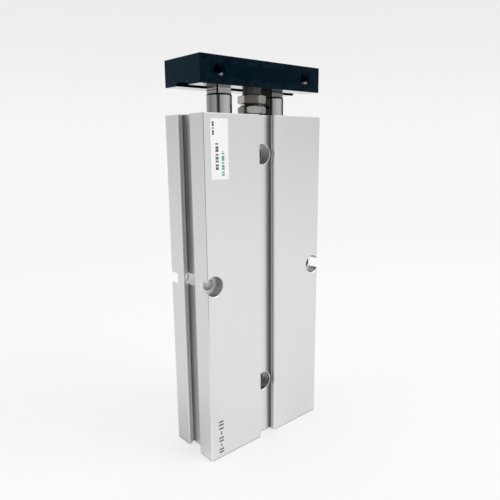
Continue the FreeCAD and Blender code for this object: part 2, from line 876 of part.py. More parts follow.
os.makedirs("parts", exist_ok=True)
for body in nodes:
    body.Shape.exportStep("parts/%s.step" % body.Label)
print("%d pieces, barrel %.2f x %.2f x %.2f mm, plate top at %.2f mm" % (
    len(nodes), body_width.number, body_thickness.number, body_length.number, plate_top.number))
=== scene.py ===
import json
import math
import bpy
from mathutils import Matrix, Vector


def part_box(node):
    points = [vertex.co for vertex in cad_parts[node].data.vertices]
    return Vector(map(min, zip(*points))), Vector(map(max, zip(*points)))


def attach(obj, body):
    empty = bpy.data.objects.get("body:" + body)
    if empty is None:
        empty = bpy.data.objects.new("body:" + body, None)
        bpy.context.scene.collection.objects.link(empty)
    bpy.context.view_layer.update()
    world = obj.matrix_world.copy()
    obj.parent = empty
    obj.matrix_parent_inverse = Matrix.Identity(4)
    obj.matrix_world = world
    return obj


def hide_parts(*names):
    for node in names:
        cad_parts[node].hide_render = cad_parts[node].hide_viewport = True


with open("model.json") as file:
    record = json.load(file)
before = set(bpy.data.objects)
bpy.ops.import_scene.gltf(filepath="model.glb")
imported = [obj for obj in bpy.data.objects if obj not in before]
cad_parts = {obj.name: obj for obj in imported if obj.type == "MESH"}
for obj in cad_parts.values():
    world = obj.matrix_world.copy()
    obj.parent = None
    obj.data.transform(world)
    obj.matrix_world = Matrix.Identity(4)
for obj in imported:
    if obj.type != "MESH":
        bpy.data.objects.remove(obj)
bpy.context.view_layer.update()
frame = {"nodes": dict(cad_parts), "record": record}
nodes = frame["nodes"]
scene = bpy.context.scene
scene.view_settings.view_transform = "Standard"
mm = 0.001
fullTurn = 2 * math.pi
print("frame loaded with", len(nodes), "pieces")


# shader maths

class Wire:
    # one shader output that takes part in Python sums
    def __init__(self, shade, socket):
        self.shade = shade
        self.socket = socket

    def sums(self, operation, *values):
        return self.shade.node("Math", {"operation": operation}, dict(enumerate(values)))

    def __add__(self, other): return self.sums("ADD", self, other)
    def __radd__(self, other): return self.sums("ADD", other, self)
    def __sub__(self, other): return self.sums("SUBTRACT", self, other)
    def __rsub__(self, other): return self.sums("SUBTRACT", other, self)
    def __mul__(self, other): return self.sums("MULTIPLY", self, other)
    def __rmul__(self, other): return self.sums("MULTIPLY", other, self)
    def __truediv__(self, other): return self.sums("DIVIDE", self, other)
    def __pow__(self, other): return self.sums("POWER", self, other)
    def __neg__(self): return self.sums("MULTIPLY", self, -1.0)
    def __abs__(self): return self.sums("ABSOLUTE", self)

    def sine(self): return self.sums("SINE", self)
    def atan2(self, other): return self.sums("ARCTAN2", self, other)
    def lower(self, other): return self.sums("MINIMUM", self, other)
    def higher(self, other): return self.sums("MAXIMUM", self, other)

    # 0 below low, 1 above high, with a soft rise between
    def rise(self, low, high):
        return self.shade.node("MapRange", {"interpolation_type": "SMOOTHSTEP"},
                               {0: self, 1: low, 2: high, 3: 0.0, 4: 1.0})

    # the same rise across one level, and 1 only between two levels
    def step(self, level, soft): return self.rise(level - soft, level + soft)
    def within(self, low, high, soft): return (self - low).lower(high - self).rise(0.0, soft)

    # 0 to 1 and back once in each pitch
    def waves(self, pitch): return (self * (fullTurn / pitch)).sine() * 0.5 + 0.5


class Shade:
    # a node tree with one way of adding any node
    def __init__(self, tree):
        self.tree = tree
        self.tree.nodes.clear()

    def node(self, kind, settings=None, sockets=None, out=0):
        made = self.tree.nodes.new("ShaderNode" + kind)
        for key, value in (settings or {}).items():
            if key == "stops":
                self.fillRamp(made.color_ramp, value)
            else:
                setattr(made, key, value)
        for key, value in (sockets or {}).items():
            if isinstance(value, Wire):
                self.tree.links.new(value.socket, made.inputs[key])
            else:
                made.inputs[key].default_value = value
        return Wire(self, made.outputs[out]) if made.outputs else made

    def fillRamp(self, ramp, stops):
        while len(ramp.elements) < len(stops):
            ramp.elements.new(0.5)
        for element, (place, level) in zip(ramp.elements, stops):
            element.position = place
            element.color = (level, level, level, 1)

    def blendColour(self, share, first, second):
        return self.node("Mix", {"data_type": "RGBA"}, {0: share, 6: first, 7: second}, out=2)

    def vectors(self, operation, first, second):
        return self.node("VectorMath", {"operation": operation}, {0: first, 1: second}, out="Value")

    def place(self): return self.node("TexCoord", out=3)  # metres in the part's own frame
    def facing(self): return self.split(self.node("TexCoord", out=1))
    def split(self, vector): return [self.node("SeparateXYZ", None, {0: vector}, i) for i in range(3)]
    def millimetres(self): return [side / mm for side in self.split(self.place())]

    def noise(self, vector, scale, detail):
        return self.node("TexNoise", None, {"Vector": vector, "Scale": scale, "Detail": detail})

    # noise that is drawn out along the part, or in rings round it
    def lines(self, x, y, z, across, along, detail):
        drawnOut = self.node("CombineXYZ", None, {0: x * across, 1: y * across, 2: z * along})
        return self.noise(drawnOut, 1.0, detail)

    def bump(self, height, strength, depth):
        return self.node("Bump", None, {"Strength": strength, "Distance": depth * mm, "Height": height})


def rgb(red, green, blue):
    return (red, green, blue, 1)


def grey(level):
    return rgb(level, level, level)


def span(first, second):
    return (first ** 2.0 + second ** 2.0) ** 0.5


def newFinish(name, recipe, settings):
    material = bpy.data.materials.new(name)
    material.use_nodes = True
    shade = Shade(material.node_tree)
    surface = recipe(shade, settings)
    shade.node("OutputMaterial", None, {"Surface": surface})
    return material


# camera, at the place the photograph was taken from

cameraSpot = {
    "place": (-0.13725, -0.15932, 0.12669),
    "azimuth": -40.997,
    "elevation": 11.992,
    "roll": -0.515,
    "lens": 35.758,
    "sensor": 36.0,
    "clip": (0.005, 50),
}


def addCamera(spot):
    turn, tilt, roll = (math.radians(spot[key]) for key in ("azimuth", "elevation", "roll"))
    back = Vector((math.sin(turn) * math.cos(tilt), -math.cos(turn) * math.cos(tilt), math.sin(tilt)))
    level = Vector((math.cos(turn), math.sin(turn), 0))
    upright = back.cross(level)
    right = level * math.cos(roll) + upright * math.sin(roll)
    up = back.cross(right)
    data = bpy.data.cameras.new("camera")
    data.lens = spot["lens"]
    data.sensor_width = spot["sensor"]
    data.clip_start, data.clip_end = spot["clip"]
    camera = bpy.data.objects.new("camera", data)
    scene.collection.objects.link(camera)
    camera.matrix_world = Matrix((
        (right.x, up.x, back.x, spot["place"][0]),
        (right.y, up.y, back.y, spot["place"][1]),
        (right.z, up.z, back.z, spot["place"][2]),
        (0, 0, 0, 1),
    ))
    scene.camera = camera


addCamera(cameraSpot)


# studio: pale floor, soft lamps, and a room with a dark flag beside the camera for the metal to mirror

studio = {
    "pale": 0.935,
    "upper": 0.85,
    "upperFrom": (-0.05, 0.25),
    "ambient": 0.60,
    "ceiling": 0.80,
    "ceilingFrom": (0.25, 0.75),
    "floorLevel": -0.0001,
    "floorReach": 12.0,
    "floorSides": 96,
    "floorShadow": 0.35,
    "floorFade": (0.25, 0.9),
    # brightness round the horizon, by azimuth in degrees: 0 is in front of the wide face
    "room": [(-180, 0.60), (-160, 0.68), (-138, 0.66), (-113, 0.32), (-90, 0.36), (-71, 0.44),
             (-62, 0.34), (-55, 0.05), (-36, 0.03), (-30, 0.32), (-22, 0.46), (-8, 0.46), (6, 0.60),
             (37, 0.69), (63, 0.64), (79, 0.28), (92, 0.03), (122, 0.03), (138, 0.80), (180, 0.60)],
    # tones of the floor that only the metal mirrors: the flag, the slot's side and the port side
    "flagAzimuth": -41,
    "flagSpread": (0.87, 0.97),
    "flagReach": (0.035, 0.06),
    "flagTone": 0.14,
    "sideAzimuth": -139,
    "sideSpread": (0.3, 0.9),
    "sideReach": (0.025, 0.09),
    "sideTone": (0.50, 0.80),  # beside the foot, and farther off
    "rightAzimuth": 80,
    "rightSpread": (0.72, 0.90),
    "rightTone": 0.85,
    "lampAim": (0, 0, 0.07),
    "lamps": [
        # name, place, watts, width, height
        ("keyBox", (0.55, -0.75, 0.85), 5.5, 0.7, 0.7),
        ("fillBox", (-0.85, 0.25, 0.70), 1.8, 0.6, 0.9),
        ("topBox", (0.05, 0.15, 1.10), 3.2, 0.8, 0.8),
    ],
}


def lightPath(shade):
    names = ("Is Camera Ray", "Is Glossy Ray", "Is Transmission Ray")
    camera, metal, glass = [shade.node("LightPath", out=name) for name in names]
    return {"camera": camera, "metal": metal, "shown": camera.higher(metal).higher(glass)}


def buildWorld(settings):
    world = bpy.data.worlds.new("studio")
    scene.world = world
    world.use_nodes = True
    shade = Shade(world.node_tree)
    x, y, z = shade.split(shade.node("TexCoord", out=0))
    azimuth = x.atan2(-y) / fullTurn + 0.5
    stops = [(angle / 360 + 0.5, level) for angle, level in settings["room"]]
    room = shade.node("ValToRGB", {"stops": stops}, {0: azimuth})
    mirrored = shade.blendColour(z.rise(*settings["ceilingFrom"]), room, grey(settings["ceiling"]))
    pale, upper = grey(settings["pale"]), grey(settings["upper"])
    backdrop = shade.blendColour(z.rise(*settings["upperFrom"]), pale, upper)
    rays = lightPath(shade)
    seen = shade.blendColour(rays["camera"], mirrored, backdrop)
    colour = shade.blendColour(rays["shown"], grey(settings["ambient"]), seen)
    background = shade.node("Background", None, {"Color": colour, "Strength": 1.0})
    shade.node("OutputWorld", None, {0: background})


def floorRecipe(shade, settings):
    pale = grey(settings["pale"])
    place = shade.place()
    distance = shade.vectors("LENGTH", place, (0, 0, 0))
    away = distance.rise(*settings["floorFade"])
    rays = lightPath(shade)

    def towards(name):
        turn = math.radians(settings[name + "Azimuth"])
        along = shade.vectors("DOT_PRODUCT", place, (math.sin(turn), -math.cos(turn), 0))
        return (along / distance).rise(*settings[name + "Spread"]) * rays["metal"]

    flag = towards("flag") * distance.rise(*settings["flagReach"])
    beside = shade.blendColour(distance.rise(*settings["sideReach"]), *map(grey, settings["sideTone"]))
    shown = shade.blendColour(towards("side"), pale, beside)
    shown = shade.blendColour(towards("right"), shown, grey(settings["rightTone"]))
    shown = shade.blendColour(flag, shown, grey(settings["flagTone"]))
    glow = rays["shown"] * (1 - (1 - away) * settings["floorShadow"]).higher(flag)
    matt = shade.node("BsdfDiffuse", None, {"Color": pale})
    lit = shade.node("Emission", None, {"Color": shown, "Strength": 1.0})
    return shade.node("MixShader", None, {0: glow, 1: matt, 2: lit})


def buildFloor(settings):
    sides, reach, level = settings["floorSides"], settings["floorReach"], settings["floorLevel"]
    points = [(0, 0, level)]
    for i in range(sides):
        turn = fullTurn * i / sides
        points.append((reach * math.cos(turn), reach * math.sin(turn), level))
    mesh = bpy.data.meshes.new("floor")
    mesh.from_pydata(points, [], [(0, i + 1, (i + 1) % sides + 1) for i in range(sides)])
    mesh.materials.append(newFinish("pale_floor", floorRecipe, settings))
    floor = bpy.data.objects.new("floor", mesh)
    scene.collection.objects.link(floor)


def addLamps(settings):
    for name, place, watts, width, height in settings["lamps"]:
        data = bpy.data.lights.new(name, "AREA")
        data.shape = "RECTANGLE"
        data.energy = watts
        data.size = width
        data.size_y = height
        lamp = bpy.data.objects.new(name, data)
        lamp.location = place
        away = Vector(place) - Vector(settings["lampAim"])
        lamp.rotation_euler = away.to_track_quat("Z", "Y").to_euler()
        scene.collection.objects.link(lamp)


buildWorld(studio)
buildFloor(studio)
addLamps(studio)
print("studio ready")


# finishes: levels and reaches are in millimetres, noise is a scale per metre and its detail, and bump is a
# strength and a depth

squareOn = (0.9, 0.98)  # how squarely a face looks along an axis

satinAluminium = {
    "colour": rgb(0.79, 0.795, 0.79),
    "streak": rgb(0.772, 0.777, 0.775),
    "roughness": 0.32,
    "roughSpread": 0.10,
    "bump": (0.12, 0.04),
    # lines along the draw of the extrusion: across and along, each per millimetre, and detail
    "dieLines": (0.42, 0.003, 3.0),
    "fineLines": (3.2, 0.012, 2.0),
    "grain": (9000, 1.0),
    # mounting holes: across, up, and how far from the middle their counterbores begin
    "holes": [(0, 24.3, 6.5), (0, 122.8, 6.5), (-27.6, 73.55, 8.0), (27.6, 73.55, 8.0)],
    "counterbore": 4.24,
    "drill": 2.4,
    "drillPitch": 0.22,
    "cut": rgb(0.68, 0.685, 0.69),
    "cutRoughness": 0.42,
    # painted shade inside the holes: lower halves of the holes in the grooves, outer ends of the side
    # holes
    "cutLow": rgb(0.30, 0.302, 0.305),
    "lowReach": (-0.8, 2.6),
    "sideReach": (4.6, 9.5),
    # painted highlight on the holes' rims
    "rim": rgb(0.93, 0.93, 0.93),
    "rimMatt": 0.6,
    "rimEdge": (3.98, 4.02),
    "seat": rgb(0.95, 0.95, 0.945),  # painted highlight on the flat ring that a screw's head sits on
    "seatRing": (2.33, 3.95),
    "seatMatt": 0.8,
    "wayOut": (-25.2, 1.2),  # painted highlight where the drill, from the back, has cut into the sensor slot
    # both ends: arcs left by the end mill; painted shade along the edge on the floor and a painted
    # highlight along the edge at the rods
    "millFrom": (75.0, 30.0, 69.0),
    "millPitch": 0.6,
    # painted contact shade along the foot
    "foot": rgb(0.30, 0.30, 0.30),
    "footEdge": (0.15, 0.4),
    # painted highlight along the top edge
    "lip": rgb(0.94, 0.945, 0.94),
    "lipEdge": (137.6, 137.75),
    # painted shade: corners of the grooves in the wide faces, darker towards the foot, and the slot's
    # floor
    "corner": rgb(0.58, 0.585, 0.585),
    "cornerLow": rgb(0.34, 0.345, 0.345),
    "cornerLevel": (12.0, 48.0),
    "grooveCorner": (4.0, 9.5),
    "grooveReach": (0.6, 2.4),
    "narrowFace": 30.96,
    "slotFloor": -27.8,
    "slotCorner": 5.3,
    "slotMouth": 3.4,
    "slotDull": rgb(0.40, 0.405, 0.405),
    "slotReach": (0.4, 3.2),
    "slotReachLow": (2.2, 4.4),  # nearer the foot
    "slotLevel": (20.0, 110.0),
    "slotMatt": 0.5,  # walls of the slot, where the anodised layer is chalky
    # painted highlights: the grooves' lips and a line below each, the slot's lips and a line on its walls,
    # and the barrel's long edges near the foot
    "rubbed": rgb(0.93, 0.935, 0.93),
    "rubbedMatt": 0.7,
    "grooveLip": (11.5, 11.8),
    "grooveLine": (10.45, 11.05),
    "slotLip": (-30.75, -30.45),
    "slotLine": (-29.3, -28.1),
    "longEdge": (30.65, 12.15),
    "footLevel": (35.0, 75.0),
    # plain strokes of ink at the foot of the wide face: left, right, low, high
    "ink": rgb(0.07, 0.07, 0.075),
    "inkFace": (-12.47, -12.45),
    "inkEdge": (-0.15, 0.2),
    "strokes": [(-27.2, -24.8, 15.7, 16.4), (-27.2, -24.8, 14.3, 15.0), (-27.2, -24.8, 12.7, 13.4),
                (-26.3, -25.7, 10.3, 11.7), (-27.2, -24.8, 8.5, 9.2), (-27.2, -24.8, 7.1, 7.8),
                (-26.3, -25.7, 4.9, 6.1), (-27.2, -24.8, 3.4, 4.1), (-27.2, -24.8, 2.1, 2.8)],
}


def holeMasks(x, y, z, settings):
    nearest, drilled, oily, seat = 1000.0, 0.0, 0.0, 0.0
    wider = settings["counterbore"] - settings["drill"]
    for across, up, begins in settings["holes"]:
        reach = span(x - across, z - up)
        mouth = abs(y).step(begins - 0.1, 0.05)
        inside = (settings["drill"] + mouth * wider - reach).step(0.0, 0.02)
        nearest = reach.lower(nearest)
        drilled = inside.higher(drilled)
        # painted shade inside the holes
        if across == 0:
            oily = (inside * (up - z).rise(*settings["lowReach"])).higher(oily)
        else:
            oily = (inside * abs(y).rise(*settings["sideReach"])).higher(oily)
            # painted highlight on the screw seats
            inner, outer = [reach.step(edge, 0.03) for edge in settings["seatRing"]]
            level = 1 - abs(abs(y) - begins).rise(0.03, 0.06)
            seat = (inner * (1 - outer) * level).higher(seat)
    face = settings["narrowFace"]
    drilled = drilled * (1 - abs(x).rise(face - 0.02, face))
    return nearest, drilled, oily, seat


def slotMasks(x, y, z, settings):
    face, floor = settings["narrowFace"], settings["slotFloor"]
    corner, mouth = settings["slotCorner"], settings["slotMouth"]
    betweenWalls = 1 - abs(y).rise(corner, corner + 0.1)
    deep = x.rise(floor - 0.1, floor - 0.05)
    onFloor = deep * (1 - x.rise(floor + 0.05, floor + 0.1)) * betweenWalls
    high, low = [abs(y).rise(*settings[key]) for key in ("slotReach", "slotReachLow")]
    inSlot = onFloor * (low + (high - low) * z.rise(*settings["slotLevel"]))
    onWall = abs(y).rise(mouth, mouth + 0.1) * betweenWalls * x.rise(-face, 0.06 - face) * (1 - deep)
    return inSlot, onWall


def satinRecipe(shade, settings):
    place = shade.place()
    x, y, z = shade.millimetres()
    sawn = abs(shade.facing()[2]).rise(*squareOn)  # both ends
    nearest, drilled, oily, seat = holeMasks(x, y, z, settings)
    inSlot, slotWall = slotMasks(x, y, z, settings)
    slotWall = slotWall * (1 - sawn) * (1 - drilled)
    grooveX, grooveY = settings["grooveCorner"]
    inGroove = 1 - span(abs(x) - grooveX, abs(y) - grooveY).rise(*settings["grooveReach"])
    grooveWall = 1 - abs(abs(x) - (grooveX + 0.15)).rise(0.17, 0.22)
    besideHole = abs(y).rise(grooveY + 0.1, grooveY + 0.3)
    besideHole = besideHole * (1 - abs(x).rise(grooveX + 0.3, grooveX + 0.5))
    # recesses that get painted shade: the grooves' corners and the slot's floor
    dull = inGroove.higher(inSlot)
    cut = (drilled * (1 - besideHole)).higher(sawn)

    # painted highlights on the lips, the lines below them and the long edges near the foot
    lips = abs(y).rise(*settings["grooveLip"])
    rubbed = grooveWall * lips.higher(abs(y).within(*settings["grooveLine"], 0.12))
    lips = 1 - x.rise(*settings["slotLip"])
    rubbed = rubbed.higher(slotWall * lips.higher(x.within(*settings["slotLine"], 0.12)))
    edgeX, edgeY = settings["longEdge"]
    longEdge = abs(x).step(edgeX, 0.05) * abs(y).step(edgeY, 0.05)
    rubbed = rubbed.higher(longEdge * (1 - z.rise(*settings["footLevel"]))) * (1 - sawn)

    fineLines = shade.lines(x, y, z, *settings["fineLines"])
    drawLines = (shade.lines(x, y, z, *settings["dieLines"]) + fineLines) * 0.5
    grain = shade.noise(place, *settings["grain"])
    millFrom = tuple(side * mm for side in settings["millFrom"])
    milled = (shade.vectors("DISTANCE", place, millFrom) / mm).waves(settings["millPitch"])
    marks = sawn * milled + drilled * nearest.waves(settings["drillPitch"]) * 0.5

    drawn = shade.blendColour(drawLines.rise(0.3, 0.7), settings["streak"], settings["colour"])
    # painted shade in the recesses, darker towards the foot
    raised = z.rise(*settings["cornerLevel"])
    corner = shade.blendColour(raised, settings["cornerLow"], settings["corner"])
    corner = shade.blendColour(inSlot, corner, settings["slotDull"])
    drawn = shade.blendColour(dull * (1 - sawn), drawn, corner)
    # painted contact shade along the foot
    drawn = shade.blendColour(1 - z.rise(*settings["footEdge"]), drawn, settings["foot"])
    # painted highlight along the top edge, outside the shaded recesses
    drawn = shade.blendColour(z.rise(*settings["lipEdge"]) * (1 - dull), drawn, settings["lip"])
    # painted shade inside the holes
    bore = shade.blendColour(oily, settings["cut"], settings["cutLow"])
    colour = shade.blendColour(cut, drawn, bore)
    far, near = settings["wayOut"]
    wayOut = drilled * (1 - x.rise(far - 0.1, far)) * y.rise(near, near + 0.3)
    # painted highlight on the holes' rims and where the drill has cut into the slot
    bright = (nearest.rise(*settings["rimEdge"]) * cut * (1 - sawn)).higher(wayOut)
    colour = shade.blendColour(bright, colour, settings["rim"])
    # painted highlight on the screw seats
    colour = shade.blendColour(seat, colour, settings["seat"])
    colour = shade.blendColour(rubbed, colour, settings["rubbed"])
    onFace = 1 - y.rise(*settings["inkFace"])
    for left, right, low, high in settings["strokes"]:
        stroke = (x - left).lower(right - x).lower((z - low).lower(high - z))
        colour = shade.blendColour(stroke.rise(*settings["inkEdge"]) * onFace, colour, settings["ink"])

    metal = (1 - slotWall * settings["slotMatt"]) * (1 - bright * settings["rimMatt"])
    metal = metal * (1 - seat * settings["seatMatt"]) * (1 - rubbed * settings["rubbedMatt"])
    rough = settings["roughness"] + (drawLines - 0.5) * settings["roughSpread"]
    rough = rough + cut * (settings["cutRoughness"] - settings["roughness"])
    height = ((1 - cut) * fineLines + cut * marks) * 0.6 + grain * 0.4
    return shade.node("BsdfPrincipled", None, {
        "Base Color": colour, "Metallic": metal, "Roughness": rough,
        "Normal": shade.bump(height, *settings["bump"])})


navyPlate = {
    "colour": rgb(0.0004, 0.0036, 0.0085),
    "worn": rgb(0.004, 0.010, 0.016),
    "wornEdge": (0.52, 0.60),
    # painted reflection: the end faces lighter and bluer than the rest
    "end": rgb(0.0004, 0.0125, 0.024),
    "endFace": (30.85, 30.9),
    "cloud": (260, 4.0),
    "grain": (7000, 2.0),
    "bump": (0.12, 0.03),
    "roughness": 0.16,
    "roughSpread": 0.05,
    "specular": 0.06,
    "specularTint": rgb(0.12, 0.72, 1.0),
    "underside": (148.1, 148.2),  # glossier than the rest, but not the channel above it
    "coatRoughness": 0.06,
    # oil wiped aslant over the underside in front of each rod dulls it
    "rods": 14.0,
    "smear": 0.95,
    "smearSlant": 0.87,
    "smearFrom": (-3.7, -3.6),
    "smearWidth": (5.7, 6.3),
    # tapped holes, and a painted highlight: a pale metallic spot on each rim
    "holes": (22.3, 153.0),
    "rim": (2.32, 2.42),
    "bare": rgb(0.56, 0.56, 0.58),
    "bareRougher": 0.15,
    "spot": (0.95, -0.95),
    "spotEdge": (0.6, 1.0),
}


def plateRecipe(shade, settings):
    place = shade.place()
    x, y, z = shade.millimetres()
    cloud = shade.noise(place, *settings["cloud"])
    grain = shade.noise(place, *settings["grain"])
    underside = (-shade.facing()[2]).rise(*squareOn) * (1 - z.rise(*settings["underside"]))
    wiped = abs(x - y * settings["smearSlant"])
    smear = 1 - abs(wiped - settings["rods"]).rise(*settings["smearWidth"])
    smear = smear * (1 - y.rise(*settings["smearFrom"]))
    # painted reflection on the end faces
    colour = shade.blendColour(abs(x).rise(*settings["endFace"]), settings["colour"], settings["end"])
    edges = shade.node("NewGeometry", out="Pointiness").rise(*settings["wornEdge"])
    colour = shade.blendColour(edges * cloud.rise(0.35, 0.65), colour, settings["worn"])
    across, up = settings["holes"]
    spotX, spotZ = settings["spot"]
    # painted highlight: a pale metallic spot on each hole's rim
    bare = 0.0
    for middle in (-across, across):
        overX, overZ = x - middle, z - up
        inRim = 1 - span(overX, overZ).rise(*settings["rim"])
        inSpot = 1 - span(overX - spotX, overZ - spotZ).rise(*settings["spotEdge"])
        bare = (inRim * inSpot).higher(bare)
    colour = shade.blendColour(bare, colour, settings["bare"])
    rough = settings["roughness"] + (cloud - 0.5) * settings["roughSpread"]
    rough = rough + bare * settings["bareRougher"]
    return shade.node("BsdfPrincipled", None, {
        "Base Color": colour, "Metallic": bare, "Roughness": rough,
        "Specular IOR Level": settings["specular"], "Specular Tint": settings["specularTint"],
        "Coat Weight": underside * (1 - smear * settings["smear"]),
        "Coat Roughness": settings["coatRoughness"], "Normal": shade.bump(grain, *settings["bump"])})


hardChrome = {
    "colour": rgb(0.62, 0.635, 0.66),
    "roughness": 0.09,
    "groundRougher": 0.05,
    "smearRougher": 0.05,
    "groundLines": (0.3, 9.0, 2.0),
    "smear": (350, 3.0),
    "bump": (0.05, 0.02),
    "axis": 14.0,
    "corner": 4.7,  # the flats' corners keep the painted shade of the shoulder band
    # square neck: painted shade at its shoulder, a painted highlight line, and painted shade on the part
    # that sits in the plate's channel
    "shoulder": (145.25, 146.05),
    "key": (147.62, 148.0),
    "scribed": (147.1, 147.5),  # painted shadow line on the left neck
    "undercut": rgb(0.10, 0.10, 0.105),
    "milled": rgb(0.82, 0.82, 0.80),
    "milledRight": rgb(0.44, 0.44, 0.45),  # painted shade on the right neck, whose line takes the shade colour where the left neck's is a painted highlight
    "milledRoughness": 0.62,
    # painted highlight line on the left neck
    "burr": rgb(0.97, 0.97, 0.96),
    "keyed": rgb(0.15, 0.15, 0.152),
    # painted shade on the sides that face the stop bolt: how far round, and up to which level it thins out
    "oil": rgb(0.07, 0.07, 0.075),
    "oiledLeft": (0.36, 0.46),
    "oiledRight": (0.66, 0.74),
    "oilLevel": (134.0, 137.5),
    "film": 0.5,  # a thinner painted reflection, on the left rod's outer side
    "filmed": (0.95, 0.985),
}


def chromeRecipe(shade, settings):
    x, y, z = shade.millimetres()
    faceX = shade.facing()[0]
    onRight = x.step(0.0, 1.0)
    onLeft = 1 - onRight
    low, high = settings["shoulder"]
    shoulder = z.step(low, 0.03)
    flat = 1 - span(abs(x) - settings["axis"], y).step(settings["corner"], 0.05)
    neck = z.step(high, 0.03) * flat  # square end, milled bare
    burr, keyed = [z.step(level, 0.05) * flat for level in settings["key"]]
    scribed = z.within(*settings["scribed"], 0.08) * (-faceX).rise(0.7, 0.9) * onLeft
    # painted shade on the shoulder band and the neck's corners
    colour = shade.blendColour(shoulder, settings["colour"], settings["undercut"])
    # painted shade on the right neck
    milled = shade.blendColour(onRight, settings["milled"], settings["milledRight"])
    colour = shade.blendColour(neck, colour, milled)
    # painted highlight line on the left neck, painted shade on the right
    burnished = shade.blendColour(onRight, settings["burr"], settings["undercut"])
    colour = shade.blendColour(burr, colour, burnished)
    # painted shade where the neck sits in the plate's channel
    colour = shade.blendColour(keyed, colour, settings["keyed"])
    # painted shadow line on the left neck
    colour = shade.blendColour(scribed, colour, settings["undercut"])

    ground = shade.lines(x, y, z, *settings["groundLines"])
    smear = shade.noise(shade.place(), *settings["smear"])
    upper = z.rise(*settings["oilLevel"])
    # painted shade on the sides that face the stop bolt
    oiled = faceX.rise(*settings["oiledLeft"]) * onLeft + (-faceX).rise(*settings["oiledRight"]) * onRight
    oiled = oiled * upper * (1 - smear.rise(0.5, 0.8) * 0.4)
    # painted dark reflection on the left rod's outer side
    filmed = (-faceX).rise(*settings["filmed"]) * onLeft * upper * (1 - shoulder) * settings["film"]
    colour = shade.blendColour(oiled.higher(filmed), colour, settings["oil"])
    rough = settings["roughness"] + ground * settings["groundRougher"]
    rough = rough + smear.rise(0.45, 0.75) * settings["smearRougher"]
    rough = rough + neck * (settings["milledRoughness"] - settings["roughness"])
    return shade.node("BsdfPrincipled", None, {
        "Base Color": colour, "Metallic": 1.0, "Roughness": rough,
        "Normal": shade.bump(ground, *settings["bump"])})


turnedMetal = {
    "patch": (420, 4.0),
    "patchEdge": (0.35, 0.7),
    "rings": (0.5, 6.0, 2.0),
    "roughSpread": 0.16,
    "bump": (0.10, 0.03),
}
nickelSteel = {"colour": rgb(0.40, 0.38, 0.31), "tarnish": rgb(0.32, 0.30, 0.235), "roughness": 0.34}
polishedNickel = {"colour": rgb(0.66, 0.645, 0.58), "tarnish": rgb(0.56, 0.545, 0.48), "roughness": 0.30}
cutThread = {"colour": rgb(0.74, 0.74, 0.75), "tarnish": rgb(0.58, 0.585, 0.60), "roughness": 0.28}
turnedAluminium = {"colour": rgb(0.74, 0.745, 0.75), "tarnish": rgb(0.62, 0.63, 0.64), "roughness": 0.30}
sinteredBronze = {"colour": rgb(0.56, 0.36, 0.17), "tarnish": rgb(0.34, 0.21, 0.10), "roughness": 0.42}
zincSteel = {
    "colour": rgb(0.66, 0.66, 0.64),
    "tarnish": rgb(0.55, 0.555, 0.54),
    "roughness": 0.46,
    # painted shade lies on the bolt's head and the thread above it, and runs down one corner of the
    # hexagon
    "grime": rgb(0.05, 0.05, 0.048),
    "headTop": 141.63,
    "axis": -3.3,
    "dirtyCorner": 209.0,
    "cornerFades": (-27.0, -2.0),  # degrees off the corner
    "cornerEnds": (-0.2, 0.4),
}


# where the bolt gets painted shade
def grimeMask(x, y, z, settings):
    turn = math.radians(settings["dirtyCorner"])
    overY = y - settings["axis"]
    aside = overY * math.cos(turn) - x * math.sin(turn)
    past = aside.atan2(x * math.cos(turn) + overY * math.sin(turn))
    fades, ends = [past.rise(*map(math.radians, settings[key])) for key in ("cornerFades", "cornerEnds")]
    return z.step(settings["headTop"], 0.02).higher(fades * (1 - ends))


def turnedRecipe(shade, settings):
    x, y, z = shade.millimetres()
    patch = shade.noise(shade.place(), *turnedMetal["patch"])
    tarnished = patch.rise(*turnedMetal["patchEdge"])
    colour = shade.blendColour(tarnished, settings["colour"], settings["tarnish"])
    if "grime" in settings:
        colour = shade.blendColour(grimeMask(x, y, z, settings), colour, settings["grime"])
        height = patch
    else:
        height = shade.lines(x, y, z, *turnedMetal["rings"])
    rough = settings["roughness"] + (patch - 0.5) * turnedMetal["roughSpread"]
    return shade.node("BsdfPrincipled", None, {
        "Base Color": colour, "Metallic": 1.0, "Roughness": rough,
        "Normal": shade.bump(height, *turnedMetal["bump"])})


moulded = {
    "cloud": (500, 4.0),
    "wornEdge": (0.4, 0.75),
    "grain": (8000, 2.0),
    "roughSpread": 0.15,
    "specular": 0.4,
    "bump": (0.15, 0.03),
}
blackSteel = {"colour": rgb(0.062, 0.063, 0.066), "worn": rgb(0.105, 0.106, 0.110), "roughness": 0.34}
stopCollar = {
    "colour": rgb(0.078, 0.080, 0.083), "worn": rgb(0.13, 0.131, 0.135), "roughness": 0.34,
    # painted shade in two bands: inside the plate's channel, and a line at the collar's lower chamfer
    "oily": rgb(0.008, 0.008, 0.009),
    "oilyBands": [(147.9, 149.4), (145.7, 146.25)],
}
blackRubber = {"colour": rgb(0.010, 0.010, 0.010), "worn": rgb(0.024, 0.024, 0.024), "roughness": 0.62}
urethane = {"colour": rgb(0.30, 0.17, 0.05), "worn": rgb(0.42, 0.27, 0.10), "roughness": 0.45}
ferrite = {"colour": rgb(0.030, 0.030, 0.032), "worn": rgb(0.060, 0.060, 0.062), "roughness": 0.55}
acetal = {"colour": rgb(0.62, 0.61, 0.57), "worn": rgb(0.74, 0.73, 0.70), "roughness": 0.40}


